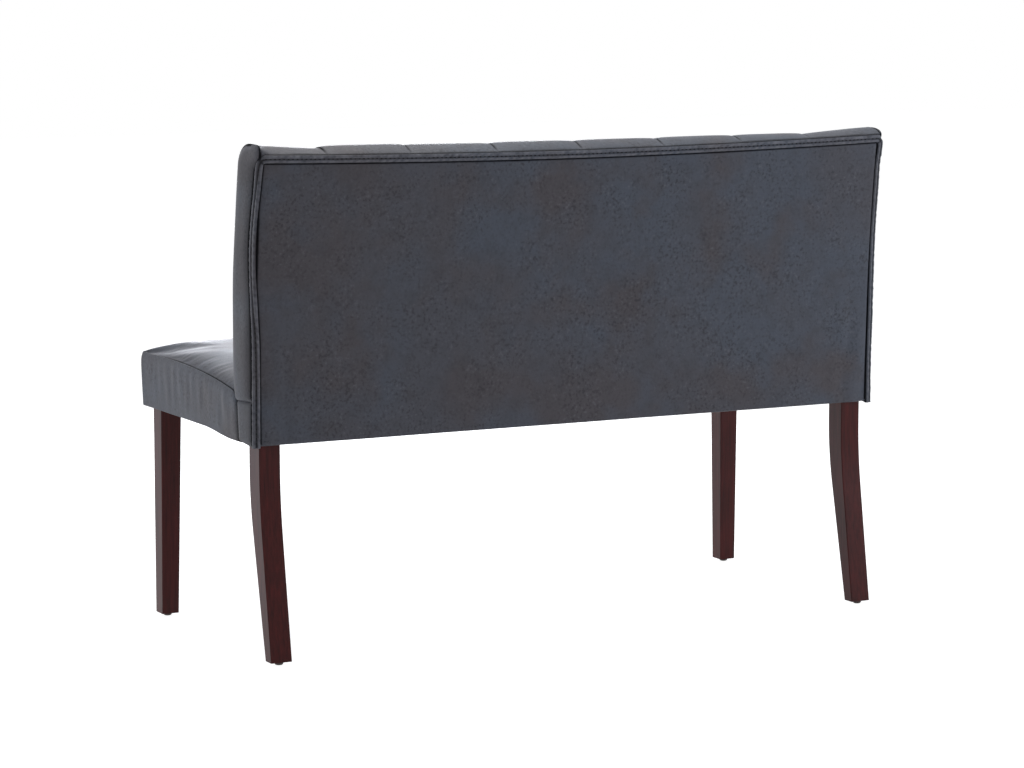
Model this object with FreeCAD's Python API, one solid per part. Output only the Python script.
import FreeCAD
import Part
import math
import os

# Upholstered two-seat bench with a padded, channelled back. Millimetres, +Z up.
# The bench faces -Y, and X runs along the seat. The origin is on the floor, in the
# middle of the area that the bench covers.

# The back, measured over its cover
back_width = 1270.0
back_thickness = 90.0
back_hem_height = 384.0
back_cover_height = 501.0
back_curve_radius = 4000.0
crest_rise = 20.0
crest_depth = 40.0
top_round_drop = 40.0
bottom_round_draw = 8.0
bottom_round_rise = 12.0
rear_seam_drop = 7.0
skirt_top_depth = 75.0
skirt_hem_depth = 67.0
welt_width = 15.0
welt_proud = 2.5

# The sewn channels of the back: depths in front of the rear face, crests above the top edge
channel_seam_count = 7
end_channel_width = 140.0
channel_seam_depth = 94.0
channel_crown_depth = 106.0
channel_seam_crest = 13.0
channel_crown_crest = 17.0

# Cover, padding and boards
cover_thickness = 2.0
rear_pad_thickness = 7.0
rear_board_thickness = 3.0
front_board_thickness = 4.0
side_pad_thickness = 13.0

# Rear legs, which run on upwards as the posts of the back
leg_width = 40.0
post_depth = 45.0
post_top_drop = 17.0
rear_foot_depth = 26.0
rear_foot_kick = 44.0
leg_bend_drop = 99.0
leg_bend_run = 60.0
leg_edge_chamfer = 1.5

# Front legs
front_leg_size = 40.0
front_foot_size = 33.0
front_leg_front_inset = 25.0
front_leg_side_inset = 8.0
leg_corner_cut = 8.0

# Nail-on glides
glide_diameter = 16.0
glide_flat_diameter = 8.0
glide_height = 6.0
glide_rim_height = 2.0
glide_nail_diameter = 2.5
glide_nail_length = 14.0

# Frame of the back
back_top_rail_height = 40.0
back_bottom_rail_height = 60.0
stile_width = 30.0
stile_offset = 200.0

# Seat: its frame, cushion and cover
seat_depth = 523.0
seat_side_inset = 5.0
seat_hem_rise = 8.0
seat_corner_radius = 20.0
rail_thickness = 22.0
rail_height = 58.0
bearer_thickness = 22.0
bearer_height = 36.0
bearer_offset = 210.0
webbing_width = 55.0
webbing_thickness = 1.5
long_web_count = 4
cross_web_count = 9
seat_seam_front_rise = 40.0
seat_seam_rear_rise = 18.0
seat_shoulder_rise = 3.0
seat_edge_rise = 11.0
seat_crown = 16.0
seat_back_gap = 2.0
band_back_gap = 4.0
overhang_clearance = 6.0
dust_cover_thickness = 1.0
dust_cover_margin = 2.0

# Corner blocks and fasteners
block_height = 44.0
block_thickness = 28.0
rear_block_corner_cut = 10.0
dowel_diameter = 8.0
dowel_length = 40.0
bolt_diameter = 8.0
bolt_head_flats = 13.0
bolt_head_height = 5.3
bolt_tail = 4.0
bolt_bearer_offset = 36.0
bolt_post_offset = 87.0
hanger_bite = 20.0
nut_height = 6.5
washer_diameter = 18.0
washer_thickness = 1.6
insert_diameter = 12.0
insert_length = 18.0
screw_diameter = 4.0
screw_head_diameter = 8.0
screw_head_height = 3.0
screw_seat = 10.0
screw_bite = 14.0

# Clearances, and the length by which every cut runs past what it cuts
hole_clearance = 0.5
bite_clearance = 0.1
leg_cutout_clearance = 1.5
overrun = 5.0

# Shares: the two sides, places across a channel, along the seat, and of pieces that repeat
side_shares = (1.0, -1.0)
channel_station_shares = (-1.0, -0.7, 0.0, 0.7, 1.0)
seat_station_shares = (-1.0, -0.9, -0.6, 0.0, 0.6, 0.9, 1.0)
seat_swell_shares = (0.0, 0.65, 0.95, 1.0, 0.95, 0.65, 0.0)
round_out_share = math.sin(math.pi / 4)
top_bulge_shares = (0.45, 0.68)
pair_shares = (0.15, 0.85)
hanger_shares = (0.3, 0.7)
mid_share = 0.5
screw_place_share = 0.72

# Heights worked out from the sizes above
back_top_z = back_hem_height + back_cover_height
back_seam_z = back_top_z - rear_seam_drop
post_top_z = back_top_z - post_top_drop
back_base_z = back_hem_height + cover_thickness
seat_hem_z = back_hem_height + seat_hem_rise
rail_base_z = seat_hem_z + dust_cover_thickness
rail_top_z = rail_base_z + rail_height
cross_web_z = rail_top_z + webbing_thickness
foam_base_z = cross_web_z + webbing_thickness
cross_seam_z = foam_base_z + overhang_clearance
seat_seam_front_z = foam_base_z + seat_seam_front_rise
seat_seam_rear_z = foam_base_z + seat_seam_rear_rise

# Depths of the back's layers in front of its rear face
rear_board_depth = cover_thickness + rear_pad_thickness
post_rear_depth = rear_board_depth + rear_board_thickness
post_front_depth = post_rear_depth + post_depth
foam_rear_depth = post_front_depth + front_board_thickness


def sweep_back(depth, z):
    """How far the layer at this depth lies behind the hem line, at height z."""
    rise = z - back_hem_height
    return back_curve_radius - math.sqrt((back_curve_radius + depth) ** 2 - rise ** 2)


# Lines across the bench, from front to rear
rear_reach = max(sweep_back(-welt_proud, back_top_z), rear_foot_kick - post_rear_depth)
overall_depth = seat_depth + rear_reach
hem_y = overall_depth / 2 - rear_reach
seat_front_y = hem_y - seat_depth
front_leg_y = seat_front_y + front_leg_front_inset
front_leg_rear_y = front_leg_y + front_leg_size
front_rail_rear_y = front_leg_y + rail_thickness
rear_rail_rear_y = hem_y - post_front_depth
rear_rail_front_y = rear_rail_rear_y - rail_thickness
band_end_y = hem_y - back_thickness - band_back_gap
cushion_rear_y = hem_y - channel_crown_depth - seat_back_gap

# Lines along the bench, from the middle outwards
back_half = back_width / 2
band_inner_x = back_half - cover_thickness
post_outer_x = band_inner_x - side_pad_thickness
post_inner_x = post_outer_x - leg_width
seat_half = back_half - seat_side_inset
seat_cover_inner_x = seat_half - cover_thickness
front_leg_outer_x = seat_half - front_leg_side_inset
front_leg_inner_x = front_leg_outer_x - front_leg_size
side_rail_inner_x = front_leg_outer_x - rail_thickness

sides = dict(zip(("left", "right"), side_shares))
pieces = {}


def point(x, y, z):
    return FreeCAD.Vector(x, y, z)


def back_point(x, depth, z):
    """The point of the back at x and z that lies depth in front of the rear face."""
    return point(x, hem_y + sweep_back(depth, z), z)


def line(start, end):
    return Part.LineSegment(start, end).toShape()


def arc(start, middle, end):
    return Part.Arc(start, middle, end).toShape()


def back_arc(x, depth, z_start, z_end):
    """Edge that follows the back's curve at one depth."""
    z_middle = (z_start + z_end) / 2
    return arc(back_point(x, depth, z_start), back_point(x, depth, z_middle), back_point(x, depth, z_end))


def wire(edges):
    return Part.Wire(Part.__sortEdges__(edges))


def box(x_a, x_b, y_a, y_b, z_a, z_b):
    """Box between two values on each axis, given in either order."""
    corner = point(min(x_a, x_b), min(y_a, y_b), min(z_a, z_b))
    return Part.makeBox(abs(x_b - x_a), abs(y_b - y_a), abs(z_b - z_a), corner)


def prism(points, direction):
    """Solid of a closed polygon pushed along a direction."""
    return Part.Face(Part.makePolygon(points + points[:1])).extrude(direction)


def rod(diameter, start, end):
    """Round bar from one point to another."""
    along = end - start
    return Part.makeCylinder(diameter / 2, along.Length, start, along)


def hexagon(flats, start, end):
    """Six-sided bar, as of a bolt's head or a nut, from one point to another."""
    along = end - start
    radius = flats / (2 * math.cos(math.pi / 6))
    turns = [k * math.pi / 3 for k in range(6)]
    outline = [point(radius * math.cos(turn), radius * math.sin(turn), 0) for turn in turns]
    bar = prism(outline, point(0, 0, along.Length))
    bar.Placement = FreeCAD.Placement(start, FreeCAD.Rotation(point(0, 0, 1), along))
    return bar


def ring(outer, inner, start, end):
    """Round or, if given as a solid, other bar with a hole of the inner diameter along it."""
    along = (end - start).normalize() * overrun
    body = rod(outer, start, end) if isinstance(outer, float) else outer
    return body.cut(rod(inner, start - along, end + along))


def back_layer(depth_rear, depth_front, z_low, z_high, x_low, x_high):
    """Slab that follows the back's curve between two depths and two heights."""
    edges = [
        line(back_point(x_low, depth_rear, z_low), back_point(x_low, depth_front, z_low)),
        back_arc(x_low, depth_front, z_low, z_high),
        line(back_point(x_low, depth_front, z_high), back_point(x_low, depth_rear, z_high)),
        back_arc(x_low, depth_rear, z_high, z_low),
    ]
    return Part.Face(wire(edges)).extrude(point(x_high - x_low, 0, 0))


def padded_edges(x, front_depth, crest, inset):
    """Edges over the front and top of the padded back, from its underside to its rear top edge.

    The underside turns up in a small arc, the front follows the back's curve, a larger arc
    rounds it over to the crest, and a flatter one falls to the rear top edge.
    """
    front = front_depth - inset
    base_z = cross_seam_z + inset
    crest_z = back_top_z + crest - inset
    turn_z = base_z + bottom_round_rise
    round_z = crest_z - top_round_drop
    rear_z = back_top_z - inset
    out, level = top_bulge_shares
    under = back_point(x, front - bottom_round_draw, base_z)
    under_middle = back_point(
        x,
        front - bottom_round_draw * (1 - round_out_share),
        base_z + bottom_round_rise * (1 - round_out_share),
    )
    over_middle = back_point(
        x,
        crest_depth + (front - crest_depth) * round_out_share,
        round_z + top_round_drop * round_out_share,
    )
    crest_point = back_point(x, crest_depth, crest_z)
    fall_middle = back_point(x, inset + (crest_depth - inset) * out, rear_z + (crest_z - rear_z) * level)
    return [
        arc(under, under_middle, back_point(x, front, turn_z)),
        back_arc(x, front, turn_z, round_z),
        arc(back_point(x, front, round_z), over_middle, crest_point),
        arc(crest_point, fall_middle, back_point(x, inset, rear_z)),
    ]


def padded_outline(x, front_depth, crest, inset, rear_low_z, inner_depth):
    """Closed outline of the padding that wraps the front and the top of the back's frame."""
    base_z = cross_seam_z + inset
    rear_z = back_top_z - inset
    under = back_point(x, front_depth - inset - bottom_round_draw, base_z)
    edges = padded_edges(x, front_depth, crest, inset) + [
        back_arc(x, inset, rear_z, rear_low_z),
        line(back_point(x, inset, rear_low_z), back_point(x, inner_depth, rear_low_z)),
        back_arc(x, inner_depth, rear_low_z, base_z),
        line(back_point(x, inner_depth, base_z), under),
    ]
    return wire(edges)


def channel_edges():
    """The X of every seam of the front cover, and of its two ends at the side bands."""
    outer_seam_x = back_half - end_channel_width
    pitch = 2 * outer_seam_x / (channel_seam_count - 1)
    seams = [k * pitch - outer_seam_x for k in range(channel_seam_count)]
    return [-band_inner_x] + seams + [band_inner_x]


def channel_sections(index):
    """X, front depth and crest at the stations across one channel.

    Depth and crest run straight from one edge of the channel to the other, plus a swell
    that is a half circle's height across it.
    """
    edges = channel_edges()
    last = len(edges) - 1
    limits = []
    for edge in (index, index + 1):
        at_side = edge in (0, last)
        limits.append((back_thickness if at_side else channel_seam_depth,
                       crest_rise if at_side else channel_seam_crest))
    low, high = limits
    sections = []
    for share in channel_station_shares:
        along = (share + 1) / 2
        swell = math.sqrt(1 - share ** 2)
        x = edges[index] + (edges[index + 1] - edges[index]) * along
        depth = low[0] + (high[0] - low[0]) * along
        crest = low[1] + (high[1] - low[1]) * along
        depth += (channel_crown_depth - (low[0] + high[0]) / 2) * swell
        crest += (channel_crown_crest - (low[1] + high[1]) / 2) * swell
        sections.append((x, depth, crest))
    return sections


def channel_solid(index, inset, rear_low_z, inner_depth):
    """Solid of one channel of the back, from one seam to the next."""
    outlines = [
        padded_outline(x, depth, crest, inset, rear_low_z, inner_depth)
        for x, depth, crest in channel_sections(index)
    ]
    return Part.makeLoft(outlines, True, False)


def bent_edge(top, corner, foot):
    """Edge from the top of a rear leg to its foot, with the bend eased to an arc."""
    up = (top - corner).normalize()
    down = (foot - corner).normalize()
    half = up.getAngle(down) / 2
    inward = (up + down).normalize()
    middle = corner + inward * (leg_bend_run * (1 - math.sin(half)) / math.cos(half))
    start = corner + up * leg_bend_run
    end = corner + down * leg_bend_run
    return [line(top, start), arc(start, middle, end), line(end, foot)]


def eased(solid, size, is_eased):
    """Solid with the edges that the test picks broken by a small chamfer."""
    return solid.makeChamfer(size, [edge for edge in solid.Edges if is_eased(edge)])


def nail_hole(x, y):
    top = point(x, y, glide_height + glide_nail_length + hole_clearance)
    return rod(glide_nail_diameter + bite_clearance, point(x, y, 0), top)


def glide(x, y):
    """Domed nail-on glide with a small flat to stand on."""
    rim_z = glide_height - glide_rim_height
    radius = glide_diameter / 2
    flat = glide_flat_diameter / 2
    dome_middle = point(flat + (radius - flat) * round_out_share, 0, rim_z * (1 - round_out_share))
    edges = [
        line(point(0, 0, 0), point(flat, 0, 0)),
        arc(point(flat, 0, 0), dome_middle, point(radius, 0, rim_z)),
        line(point(radius, 0, rim_z), point(radius, 0, glide_height)),
        line(point(radius, 0, glide_height), point(0, 0, glide_height)),
        line(point(0, 0, glide_height), point(0, 0, 0)),
    ]
    head = Part.Face(wire(edges)).revolve(point(0, 0, 0), point(0, 0, 1), 360)
    nail_top = point(0, 0, glide_height + glide_nail_length)
    body = head.fuse(rod(glide_nail_diameter, point(0, 0, rim_z), nail_top)).removeSplitter()
    body.translate(point(x, y, 0))
    return body


# Places of the round fasteners: each is a point in the joint and the way along the fastener
along_x = point(1, 0, 0)
along_y = point(0, 1, 0)
along_z = point(0, 0, 1)


def shared_z(share):
    """Height on the seat rails at a share of their height."""
    return rail_base_z + rail_height * share


def seat_dowel_places():
    """Dowels between the front legs, the four seat rails and the two cross bearers."""
    places = []
    rail_middle_y = front_leg_y + rail_thickness / 2
    rail_middle_x = front_leg_outer_x - rail_thickness / 2
    bearer_z = rail_base_z + bearer_height / 2
    for side in sides.values():
        for share in pair_shares:
            z = shared_z(share)
            places.append((point(side * front_leg_inner_x, rail_middle_y, z), along_x))
            places.append((point(side * rail_middle_x, front_leg_rear_y, z), along_y))
            places.append((point(side * rail_middle_x, rear_rail_front_y, z), along_y))
        places.append((point(side * bearer_offset, front_rail_rear_y, bearer_z), along_y))
        places.append((point(side * bearer_offset, rear_rail_front_y, bearer_z), along_y))
    return places


def back_dowel_places():
    """Dowels between the posts, the two rails of the back and the two stiles."""
    top_rail_z = post_top_z - back_top_rail_height / 2
    bottom_rail_z = back_base_z + back_bottom_rail_height / 2
    stile_low_z = back_base_z + back_bottom_rail_height
    stile_high_z = post_top_z - back_top_rail_height
    places = []
    for side in sides.values():
        for z in (top_rail_z, bottom_rail_z):
            for share in hanger_shares:
                seat = back_point(side * post_inner_x, post_rear_depth + post_depth * share, z)
                places.append((seat, along_x))
        for z in (stile_low_z, stile_high_z):
            seat = back_point(side * stile_offset, post_rear_depth + post_depth * mid_share, z)
            places.append((seat, along_z))
    return places


def dowels(places):
    reach = dowel_length / 2
    return [rod(dowel_diameter, seat - way * reach, seat + way * reach) for seat, way in places]


def dowel_holes(places):
    reach = dowel_length / 2 + hole_clearance
    size = dowel_diameter + bite_clearance
    return Part.makeCompound([rod(size, seat - way * reach, seat + way * reach) for seat, way in places])


seat_dowel_bores = dowel_holes(seat_dowel_places())
back_dowel_bores = dowel_holes(back_dowel_places())


class Corner:
    """A corner of the seat frame, with places counted from the inner faces of its two rails."""

    def __init__(self, side, front):
        self.side = side
        self.front = front
        self.rail_y = front_rail_rear_y if front else rear_rail_front_y
        leg_reach = front_leg_size - rail_thickness
        self.near = 2 * leg_reach - leg_corner_cut if front else rear_block_corner_cut
        self.far = self.near + block_thickness * math.sqrt(2)

    def place(self, from_side_rail, from_end_rail, z):
        """Point at these distances from the inner faces of the side rail and the end rail."""
        inward = from_end_rail if self.front else -from_end_rail
        return point(self.side * (side_rail_inner_x - from_side_rail), self.rail_y + inward, z)

    def diagonal(self, distance, z):
        """Point on the corner's diagonal at a distance from the corner of the rails."""
        return self.place(distance * round_out_share, distance * round_out_share, z)


corners = {
    "front_left": Corner(sides["left"], True),
    "front_right": Corner(sides["right"], True),
    "rear_left": Corner(sides["left"], False),
    "rear_right": Corner(sides["right"], False),
}
front_corners = [corners["front_left"], corners["front_right"]]
block_middle_z = shared_z(mid_share)


def hanger_parts(corner, z):
    """Hanger bolt, washer and nut that pull a front leg into its corner block."""
    leg_face = corner.near * round_out_share
    block_face = leg_face + block_thickness
    washer_end = block_face + washer_thickness
    nut_end = washer_end + nut_height
    tip = corner.diagonal(leg_face - hanger_bite, z)
    stud = rod(bolt_diameter, tip, corner.diagonal(nut_end + bolt_tail, z))
    bore = bolt_diameter + bite_clearance
    seat, rest, end = [corner.diagonal(d, z) for d in (block_face, washer_end, nut_end)]
    washer = ring(washer_diameter, bore, seat, rest)
    nut = ring(hexagon(bolt_head_flats, rest, end), bore, rest, end)
    return stud, washer, nut


def hanger_bore(corner, z, size, past):
    """Hole for a hanger bolt, from its end in the leg to a place past the block."""
    leg_face = corner.near * round_out_share
    start = corner.diagonal(leg_face - hanger_bite - hole_clearance, z)
    return rod(size, start, corner.diagonal(leg_face + past, z))


def block_screw_lines(corner):
    """Start, seat and end of the two screws of a corner block, one into each rail."""
    across = corner.far * screw_place_share
    ends = (corner.far, screw_seat + screw_head_height, screw_seat, -screw_bite)
    to_end_rail = [corner.place(across, reach, block_middle_z) for reach in ends]
    to_side_rail = [corner.place(reach, across, block_middle_z) for reach in ends]
    return to_end_rail, to_side_rail


def block_screws(corner):
    screws = []
    for outside, head, seat, tip in block_screw_lines(corner):
        shank = rod(screw_diameter, seat, tip)
        screws.append(rod(screw_head_diameter, seat, head).fuse(shank).removeSplitter())
    return screws


def block_screw_bores(corner):
    bores = []
    for outside, head, seat, tip in block_screw_lines(corner):
        end = tip + (tip - seat).normalize() * hole_clearance
        bores.append(rod(screw_diameter + bite_clearance, seat, end))
        bores.append(rod(screw_head_diameter + hole_clearance, seat, outside))
    return bores


screw_bores = Part.makeCompound([bore for corner in corners.values() for bore in block_screw_bores(corner)])


def corner_block(corner):
    """Glued block across a corner of the seat frame, bored for its screws and hanger bolts."""
    low_z = block_middle_z - block_height / 2
    plan = [
        corner.place(corner.near, 0, low_z),
        corner.place(corner.far, 0, low_z),
        corner.place(0, corner.far, low_z),
        corner.place(0, corner.near, low_z),
    ]
    block = prism(plan, point(0, 0, block_height)).cut(screw_bores)
    if corner.front:
        for share in hanger_shares:
            past = block_thickness + overrun
            block = block.cut(hanger_bore(corner, shared_z(share), bolt_diameter + hole_clearance, past))
    return block


def rear_leg(side):
    """Rear leg and back post in one piece: swept back at the foot, following the back above."""
    x = side * post_inner_x
    bend_z = back_hem_height - leg_bend_drop
    rear_y = hem_y - post_rear_depth
    front_y = hem_y - post_front_depth
    foot_rear_y = rear_y + rear_foot_kick
    foot_front_y = foot_rear_y - rear_foot_depth
    foot_rear = point(x, foot_rear_y, glide_height)
    foot_front = point(x, foot_front_y, glide_height)
    rear_hem = back_point(x, post_rear_depth, back_hem_height)
    front_hem = back_point(x, post_front_depth, back_hem_height)
    edges = bent_edge(rear_hem, point(x, rear_y, bend_z), foot_rear)
    edges += bent_edge(front_hem, point(x, front_y, bend_z), foot_front)
    edges += [
        line(foot_rear, foot_front),
        back_arc(x, post_rear_depth, back_hem_height, post_top_z),
        back_arc(x, post_front_depth, back_hem_height, post_top_z),
        line(back_point(x, post_rear_depth, post_top_z), back_point(x, post_front_depth, post_top_z)),
    ]
    post = Part.Face(wire(edges)).extrude(point(side * leg_width, 0, 0))

    def is_long_edge(edge):
        ends = [vertex.Point for vertex in edge.Vertexes]
        return abs(ends[0].z - ends[1].z) > leg_edge_chamfer

    post = eased(post, leg_edge_chamfer, is_long_edge)
    middle_x = side * (post_inner_x + leg_width / 2)
    return post.cut(back_dowel_bores).cut(nail_hole(middle_x, (foot_rear_y + foot_front_y) / 2))


def front_leg(side, corner):
    """Front leg, tapered on its two inner faces, with its inner corner cut for the corner block."""

    def square(size, z):
        outer = side * front_leg_outer_x
        inner = side * (front_leg_outer_x - size)
        rear = front_leg_y + size
        outline = [(outer, front_leg_y), (inner, front_leg_y), (inner, rear), (outer, rear)]
        return Part.makePolygon([point(x, y, z) for x, y in outline + outline[:1]])

    levels = [(front_foot_size, glide_height), (front_leg_size, seat_hem_z), (front_leg_size, rail_top_z)]
    leg = Part.makeLoft([square(size, z) for size, z in levels], True, True)

    def is_leg_edge(edge):
        heights = sorted(vertex.Point.z for vertex in edge.Vertexes)
        return heights[0] < seat_hem_z - leg_edge_chamfer and heights[1] > seat_hem_z - leg_edge_chamfer

    leg = eased(leg, leg_edge_chamfer, is_leg_edge)
    plan = [
        corner.place(corner.near, 0, rail_base_z),
        corner.place(corner.near, corner.near, rail_base_z),
        corner.place(0, corner.near, rail_base_z),
    ]
    leg = leg.cut(prism(plan, point(0, 0, rail_height + overrun)))
    for share in hanger_shares:
        leg = leg.cut(hanger_bore(corner, shared_z(share), bolt_diameter + bite_clearance, overrun))
    middle_x = side * (front_leg_outer_x - front_foot_size / 2)
    return leg.cut(seat_dowel_bores).cut(nail_hole(middle_x, front_leg_y + front_foot_size / 2))


def add_legs():
    foot_y = hem_y - post_rear_depth + rear_foot_kick - rear_foot_depth / 2
    for name, side in sides.items():
        pieces["rear_leg_" + name] = rear_leg(side)
        pieces["front_leg_" + name] = front_leg(side, corners["front_" + name])
        pieces["glide_rear_" + name] = glide(side * (post_inner_x + leg_width / 2), foot_y)
        front_x = side * (front_leg_outer_x - front_foot_size / 2)
        pieces["glide_front_" + name] = glide(front_x, front_leg_y + front_foot_size / 2)


def seat_bolt_places():
    """Where the seat is bolted to the back: beside each cross bearer and near each post."""
    inner_x = bearer_offset - bolt_bearer_offset
    outer_x = post_inner_x - bolt_post_offset
    return [point(x, rear_rail_front_y, block_middle_z) for x in (-outer_x, -inner_x, inner_x, outer_x)]


def seat_bolt_bores(size, start_y, end_y):
    """Holes along Y at the bolts that join the seat to the back."""
    return Part.makeCompound([
        rod(size, point(place.x, start_y, place.z), point(place.x, end_y, place.z))
        for place in seat_bolt_places()
    ])


def add_seat_frame():
    bolt_bores = seat_bolt_bores(
        bolt_diameter + hole_clearance, rear_rail_front_y - overrun, rear_rail_rear_y + overrun)
    front = box(
        -front_leg_inner_x, front_leg_inner_x, front_leg_y, front_rail_rear_y, rail_base_z, rail_top_z)
    rear = box(
        -front_leg_outer_x, front_leg_outer_x, rear_rail_front_y, rear_rail_rear_y, rail_base_z, rail_top_z)
    pieces["seat_front_rail"] = front.cut(seat_dowel_bores).cut(screw_bores)
    pieces["seat_rear_rail"] = rear.cut(seat_dowel_bores).cut(screw_bores).cut(bolt_bores)
    for name, side in sides.items():
        rail = box(
            side * side_rail_inner_x, side * front_leg_outer_x,
            front_leg_rear_y, rear_rail_front_y, rail_base_z, rail_top_z)
        pieces["seat_side_rail_" + name] = rail.cut(seat_dowel_bores).cut(screw_bores)
        bearer = box(
            side * bearer_offset - bearer_thickness / 2, side * bearer_offset + bearer_thickness / 2,
            front_rail_rear_y, rear_rail_front_y, rail_base_z, rail_base_z + bearer_height)
        pieces["seat_cross_bearer_" + name] = bearer.cut(seat_dowel_bores)
    for name, corner in corners.items():
        pieces["corner_block_" + name] = corner_block(corner)
    pieces["seat_frame_dowels"] = Part.makeCompound(dowels(seat_dowel_places()))


def add_fasteners():
    screws = [screw for corner in corners.values() for screw in block_screws(corner)]
    pieces["corner_block_screws"] = Part.makeCompound(screws)
    hangers = [hanger_parts(corner, shared_z(share)) for corner in front_corners for share in hanger_shares]
    studs, washers, nuts = zip(*hangers)
    pieces["leg_hanger_bolts"] = Part.makeCompound(list(studs))
    pieces["leg_bolt_washers"] = Part.makeCompound(list(washers))
    pieces["leg_bolt_nuts"] = Part.makeCompound(list(nuts))
    bolts = []
    seat_washers = []
    inserts = []
    bore = bolt_diameter + bite_clearance
    for place in seat_bolt_places():
        head_seat = place - along_y * washer_thickness
        insert_start = place + along_y * rail_thickness
        insert_end = insert_start + along_y * insert_length
        head = hexagon(bolt_head_flats, head_seat - along_y * bolt_head_height, head_seat)
        bolts.append(head.fuse(rod(bolt_diameter, head_seat, insert_end)).removeSplitter())
        seat_washers.append(ring(washer_diameter, bore, head_seat, place))
        inserts.append(ring(insert_diameter, bore, insert_start + along_y * hole_clearance, insert_end))
    pieces["seat_bolts"] = Part.makeCompound(bolts)
    pieces["seat_bolt_washers"] = Part.makeCompound(seat_washers)
    pieces["seat_bolt_inserts"] = Part.makeCompound(inserts)


def add_webbing():
    """Elastic straps: one layer along the seat on the side rails, one across it above them."""
    long_step = (rear_rail_front_y - front_leg_rear_y) / long_web_count
    cross_step = 2 * front_leg_inner_x / cross_web_count
    half_web = webbing_width / 2
    long_webs = []
    for k in range(long_web_count):
        y = front_leg_rear_y + long_step * (k + mid_share)
        long_webs.append(box(
            -front_leg_outer_x, front_leg_outer_x, y - half_web, y + half_web, rail_top_z, cross_web_z))
    cross_webs = []
    for k in range(cross_web_count):
        x = cross_step * (k + mid_share) - front_leg_inner_x
        cross_webs.append(box(
            x - half_web, x + half_web, front_leg_y, rear_rail_rear_y, cross_web_z, foam_base_z))
    pieces["seat_webbing_long"] = Part.makeCompound(long_webs)
    pieces["seat_webbing_cross"] = Part.makeCompound(cross_webs)


def seat_plan(inset, rear_y, low_z, high_z):
    """Upright block of the seat's plan: square at the rear, with rounded front corners."""
    half = seat_half - inset
    front = seat_front_y + inset
    radius = seat_corner_radius - inset
    bend = radius * (1 - round_out_share)
    edges = [line(point(half, rear_y, low_z), point(half, front + radius, low_z))]
    edges.append(arc(
        point(half, front + radius, low_z), point(half - bend, front + bend, low_z),
        point(half - radius, front, low_z)))
    edges.append(line(point(half - radius, front, low_z), point(radius - half, front, low_z)))
    edges.append(arc(
        point(radius - half, front, low_z), point(bend - half, front + bend, low_z),
        point(-half, front + radius, low_z)))
    edges.append(line(point(-half, front + radius, low_z), point(-half, rear_y, low_z)))
    edges.append(line(point(-half, rear_y, low_z), point(half, rear_y, low_z)))
    return Part.Face(wire(edges)).extrude(point(0, 0, high_z - low_z))


def seat_seam_z(y):
    """Height of the seam between the seat's band and its top cover, which falls to the rear."""
    along = (y - seat_front_y) / (band_end_y - seat_front_y)
    return seat_seam_front_z + (seat_seam_rear_z - seat_seam_front_z) * along


def corner_waste(side, inset, low_z, high_z):
    """What the rounded front corner of the seat's plan takes off a square one."""
    half = seat_half - inset
    front = seat_front_y + inset
    radius = seat_corner_radius - inset
    bend = radius * (1 - round_out_share)

    def place(x, y):
        return point(side * x, y, low_z)

    end = place(half, front + radius)
    start = place(half - radius, front)
    outside = [
        end,
        place(half + overrun, front + radius),
        place(half + overrun, front - overrun),
        place(half - radius, front - overrun),
        start,
    ]
    edges = [line(a, b) for a, b in zip(outside, outside[1:])]
    edges.append(arc(start, place(half - bend, front + bend), end))
    return Part.Face(wire(edges)).extrude(point(0, 0, high_z - low_z))


def cushion_solid(inset, front_low_z, rear_low_z):
    """Crowned block of the seat cushion, between an under face and its swelling top.

    At each station along X, the top is one arc from the front edge to the rear edge. Both
    edges and the crown swell from the ends of the seat to its middle.
    """
    outlines = []
    for share, swell in zip(seat_station_shares, seat_swell_shares):
        x = share * (seat_half - inset)
        front_y = seat_front_y + inset
        rear_y = cushion_rear_y - inset
        edge_rise = seat_shoulder_rise + seat_edge_rise * swell - inset
        front_top = point(x, front_y, seat_seam_front_z + edge_rise)
        rear_top = point(x, rear_y, seat_seam_z(rear_y) + edge_rise)
        crown = (front_top + rear_top) * mid_share + point(0, 0, seat_shoulder_rise + seat_crown * swell)
        front_low = point(x, front_y, front_low_z)
        rear_low = point(x, rear_y, rear_low_z)
        outlines.append(wire([
            line(front_low, front_top),
            arc(front_top, crown, rear_top),
            line(rear_top, rear_low),
            line(rear_low, front_low),
        ]))
    cushion = Part.makeLoft(outlines, True, False)
    for side in sides.values():
        cushion = cushion.cut(corner_waste(side, inset, foam_base_z - overrun, back_top_z))
    return cushion


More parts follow.
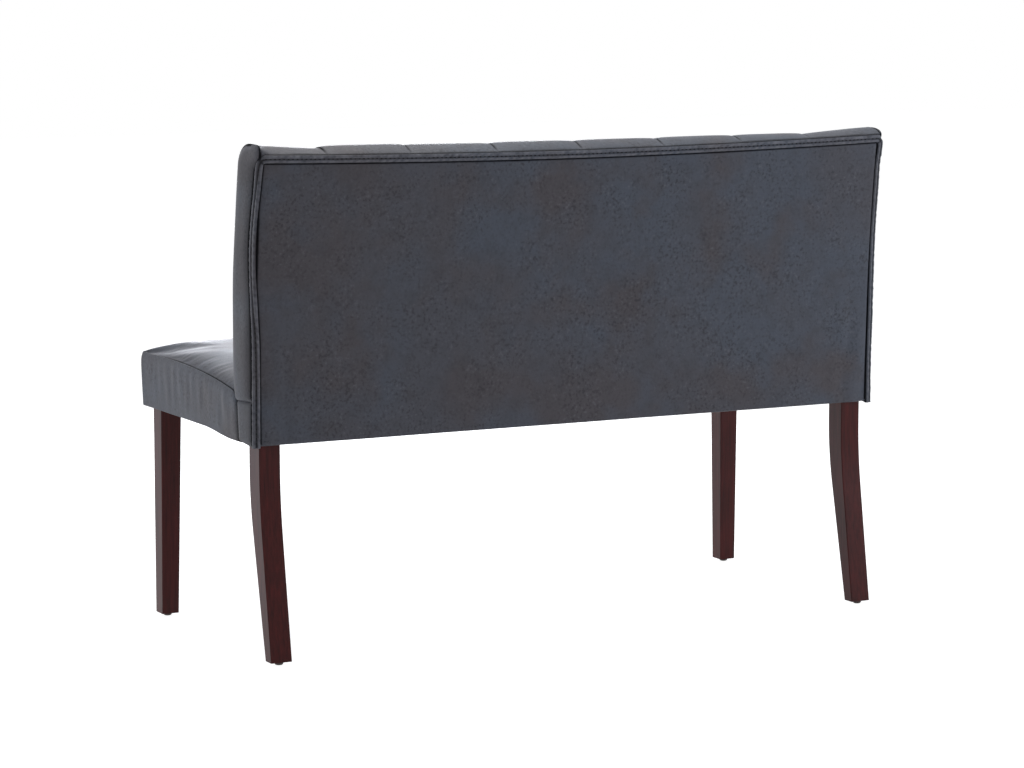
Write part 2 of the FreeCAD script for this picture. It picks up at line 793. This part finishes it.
def add_seat_soft():
    inner_plan = seat_plan(cover_thickness, rear_rail_rear_y + overrun, rail_base_z - overrun, back_top_z)
    outer_plan = seat_plan(0, rear_rail_rear_y + overrun, rail_base_z - overrun, back_top_z)
    foam = cushion_solid(cover_thickness, foam_base_z, foam_base_z)
    pieces["seat_foam"] = foam
    pieces["seat_cover_top"] = cushion_solid(0, seat_seam_front_z, seat_seam_z(cushion_rear_y)).cut(foam)

    band_side = [
        point(-back_half, seat_front_y - overrun, seat_hem_z),
        point(-back_half, seat_front_y - overrun, seat_seam_front_z),
        point(-back_half, seat_front_y, seat_seam_front_z),
        point(-back_half, band_end_y, seat_seam_rear_z),
        point(-back_half, band_end_y, foam_base_z),
        point(-back_half, rear_rail_rear_y, foam_base_z),
        point(-back_half, rear_rail_rear_y, seat_hem_z),
    ]
    band_reach = prism(band_side, point(back_width, 0, 0))
    pieces["seat_cover_band"] = outer_plan.cut(inner_plan).common(band_reach)

    front_pad = box(
        -seat_half, seat_half, seat_front_y - overrun, front_leg_y, rail_base_z, foam_base_z)
    pieces["seat_front_pad"] = front_pad.common(inner_plan)
    for name, side in sides.items():
        pieces["seat_side_pad_" + name] = box(
            side * front_leg_outer_x, side * seat_cover_inner_x,
            front_leg_y, rear_rail_rear_y, rail_base_z, foam_base_z)

    half = front_leg_outer_x - dust_cover_margin
    sheet = box(
        -half, half, front_leg_y + dust_cover_margin, rear_rail_rear_y - dust_cover_margin,
        seat_hem_z, rail_base_z)
    for side in sides.values():
        sheet = sheet.cut(box(
            side * (front_leg_inner_x - leg_cutout_clearance), side * back_half,
            seat_front_y, front_leg_rear_y + leg_cutout_clearance,
            seat_hem_z - overrun, rail_base_z + overrun))
    pieces["dust_cover"] = sheet


def add_back_frame():
    bottom_rail_top = back_base_z + back_bottom_rail_height
    top_rail_base = post_top_z - back_top_rail_height
    span = (-post_inner_x, post_inner_x)
    insert_bores = seat_bolt_bores(
        insert_diameter + bite_clearance, rear_rail_rear_y - overrun,
        rear_rail_rear_y + insert_length + hole_clearance)
    top_rail = back_layer(post_rear_depth, post_front_depth, top_rail_base, post_top_z, *span)
    bottom_rail = back_layer(post_rear_depth, post_front_depth, back_base_z, bottom_rail_top, *span)
    pieces["back_top_rail"] = top_rail.cut(back_dowel_bores)
    pieces["back_bottom_rail"] = bottom_rail.cut(back_dowel_bores).cut(insert_bores)
    for name, side in sides.items():
        middle = side * stile_offset
        stile = back_layer(
            post_rear_depth, post_front_depth, bottom_rail_top, top_rail_base,
            middle - stile_width / 2, middle + stile_width / 2)
        pieces["back_stile_" + name] = stile.cut(back_dowel_bores)
    pieces["back_frame_dowels"] = Part.makeCompound(dowels(back_dowel_places()))
    pieces["back_front_board"] = back_layer(
        post_front_depth, foam_rear_depth, cross_seam_z + cover_thickness, post_top_z,
        -band_inner_x, band_inner_x)
    pieces["back_rear_board"] = back_layer(
        rear_board_depth, post_rear_depth, back_base_z, post_top_z, -post_outer_x, post_outer_x)


def add_back_soft():
    pieces["back_rear_pad"] = back_layer(
        cover_thickness, rear_board_depth, back_base_z, post_top_z, -post_outer_x, post_outer_x)
    channel_count = channel_seam_count + 1
    lobes = [
        channel_solid(k, cover_thickness, post_top_z, foam_rear_depth) for k in range(channel_count)]
    pieces["back_foam"] = lobes[0].multiFuse(lobes[1:])
    turn_under_depth = (foam_rear_depth + back_thickness) / 2
    panels = [
        channel_solid(k, 0, back_seam_z, turn_under_depth).cut(lobes[k]) for k in range(channel_count)]
    pieces["back_cover_front"] = Part.makeCompound(panels)

    rear_cover = back_layer(0, cover_thickness, back_hem_height, back_seam_z, -band_inner_x, band_inner_x)
    hem_half = post_inner_x - hole_clearance
    hem = back_layer(0, post_front_depth, back_hem_height, back_base_z, -hem_half, hem_half)
    pieces["back_rear_cover"] = rear_cover.fuse(hem).removeSplitter()

    welt_low_z = back_top_z - welt_width
    welt_inner_x = back_half - welt_width
    welt = back_layer(-welt_proud, 0, welt_low_z, back_top_z, -back_half, back_half)
    for name, side in sides.items():
        inner_x, outer_x = side * band_inner_x, side * back_half
        pieces["back_side_pad_" + name] = back_layer(
            cover_thickness, post_front_depth, back_base_z, post_top_z, side * post_outer_x, inner_x)
        welt = welt.fuse(back_layer(
            -welt_proud, 0, back_hem_height, welt_low_z, side * welt_inner_x, outer_x))
        through = point(outer_x - inner_x, 0, 0)
        band_under = back_point(inner_x, back_thickness - bottom_round_draw, cross_seam_z)
        band_edges = padded_edges(inner_x, back_thickness, crest_rise, 0) + [
            back_arc(inner_x, 0, back_top_z, cross_seam_z),
            line(back_point(inner_x, 0, cross_seam_z), band_under),
        ]
        pieces["back_side_band_" + name] = Part.Face(wire(band_edges)).extrude(through)
        skirt_top = back_point(inner_x, skirt_top_depth, cross_seam_z)
        skirt_hem = back_point(inner_x, skirt_hem_depth, back_hem_height)
        skirt_edges = [
            back_arc(inner_x, 0, back_hem_height, cross_seam_z),
            line(back_point(inner_x, 0, cross_seam_z), skirt_top),
            line(skirt_top, skirt_hem),
            line(skirt_hem, back_point(inner_x, 0, back_hem_height)),
        ]
        pieces["back_side_skirt_" + name] = Part.Face(wire(skirt_edges)).extrude(through)
    pieces["back_edge_welt"] = welt.removeSplitter()


add_legs()
add_seat_frame()
add_fasteners()
add_webbing()
add_seat_soft()
add_back_frame()
add_back_soft()

os.makedirs("parts", exist_ok=True)
for name, shape in pieces.items():
    shape.exportStep("parts/" + name + ".step")
    state = "valid" if shape.isValid() else "NOT VALID"
    print(name, len(shape.Solids), "solids", round(shape.Volume), "mm3", state)
whole = Part.makeCompound(list(pieces.values())).optimalBoundingBox(False, False)
print("width", round(whole.XLength, 2), "depth", round(whole.YLength, 2), "height", round(whole.ZMax, 2))
